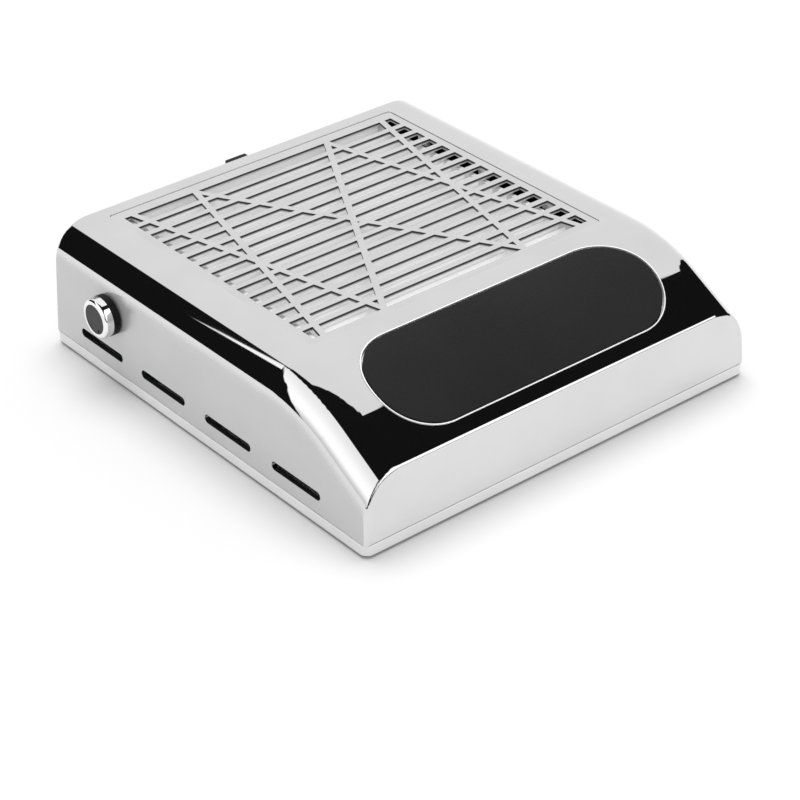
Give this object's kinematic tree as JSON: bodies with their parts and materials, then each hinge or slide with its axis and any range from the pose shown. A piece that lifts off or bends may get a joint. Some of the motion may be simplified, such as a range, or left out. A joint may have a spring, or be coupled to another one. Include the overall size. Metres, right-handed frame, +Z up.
{
  "type": "nail dust collector",
  "caption": "Desktop nail dust collector: slotted suction grille over a pleated slide-out filter, padded wrist rest, speed knob, side exhaust vents.",
  "frame": {"origin": "on the table, in the plane that the four feet stand on, midway between the side walls and midway between the front and back walls of the case", "axes": "+X to the user's right, +Y away from the user towards the back wall, +Z up"},
  "size_m": [0.2742, 0.2834, 0.0741],
  "materials": {
    "case_chrome": "smooth chrome-plated moulding, light silver",
    "grille_chrome": "chrome-plated moulding, light silver",
    "trim_chrome": "bright chrome plating",
    "trim_silver": "satin silver plating",
    "white_plastic": "white moulded ABS, semi gloss",
    "black_plastic": "black moulded plastic, fine texture",
    "knob_face_plastic": "dark grey glossy cap",
    "pad_cover": "charcoal soft-touch cover over foam, matte",
    "filter_paper": "pleated filter paper",
    "foot_rubber": "matte black rubber",
    "screw_steel": "zinc-plated steel",
    "motor_steel": "plain steel",
    "motor_aluminium": "cast and turned aluminium",
    "magnet_ferrite": "sintered ferrite",
    "winding_copper": "enamelled copper wire",
    "circuit_board": "green solder mask on glass fibre board",
    "capacitor_sleeve": "dark shrink sleeve",
    "socket_plastic": "ivory nylon",
    "lead_jacket": "black PVC jacket"
  },
  "bodies": {
    "root": {"top_shell": "case_chrome", "base_tray": "white_plastic", "rubber_feet": "foot_rubber", "case_screws": "screw_steel", "grille_panel": "grille_chrome", "pad_bezel": "trim_silver", "pad_board": "black_plastic", "wrist_pad": "pad_cover", "filter_deck": "black_plastic", "deck_screws": "screw_steel", "motor_mount": "motor_aluminium", "lower_bearing": "motor_steel", "upper_bearing": "motor_steel", "stator_core": "motor_steel", "stator_coils": "winding_copper", "motor_board": "circuit_board", "motor_screws": "screw_steel", "motor_lead": "lead_jacket", "potentiometer": "motor_aluminium", "potentiometer_nut": "screw_steel", "power_inlet": "black_plastic", "inlet_nut": "screw_steel", "inlet_lead": "lead_jacket", "control_lead": "lead_jacket", "control_board": "circuit_board", "board_screws": "screw_steel", "board_capacitors": "capacitor_sleeve", "board_heatsink": "motor_aluminium", "board_sockets": "socket_plastic"},
    "knob": {"control_shaft": "motor_aluminium", "knob_core": "black_plastic", "knob_ring": "trim_chrome", "knob_face": "knob_face_plastic"},
    "rotor": {"impeller": "black_plastic", "rotor_cup": "motor_steel", "magnet_ring": "magnet_ferrite", "motor_shaft": "motor_steel", "shaft_clip": "motor_steel"},
    "filter": {"filter_frame": "white_plastic", "filter_pleats": "filter_paper", "filter_pull_tab": "black_plastic"}
  },
  "joints": [
    {"name": "filter_slide", "type": "slide", "parent": "root", "child": "filter", "axis": [0, 1, 0], "range_m": [0, 0.19]},
    {"name": "knob_turn", "type": "hinge", "parent": "root", "child": "knob", "pos_m": [-0.134, 0.0818, 0.0427], "axis": [1, 0, 0], "range_deg": [-300, 0]},
    {"name": "fan_spin", "type": "hinge", "parent": "root", "child": "rotor", "pos_m": [0, 0.038, 0.018], "axis": [0, 0, 1], "continuous": true}
  ]
}
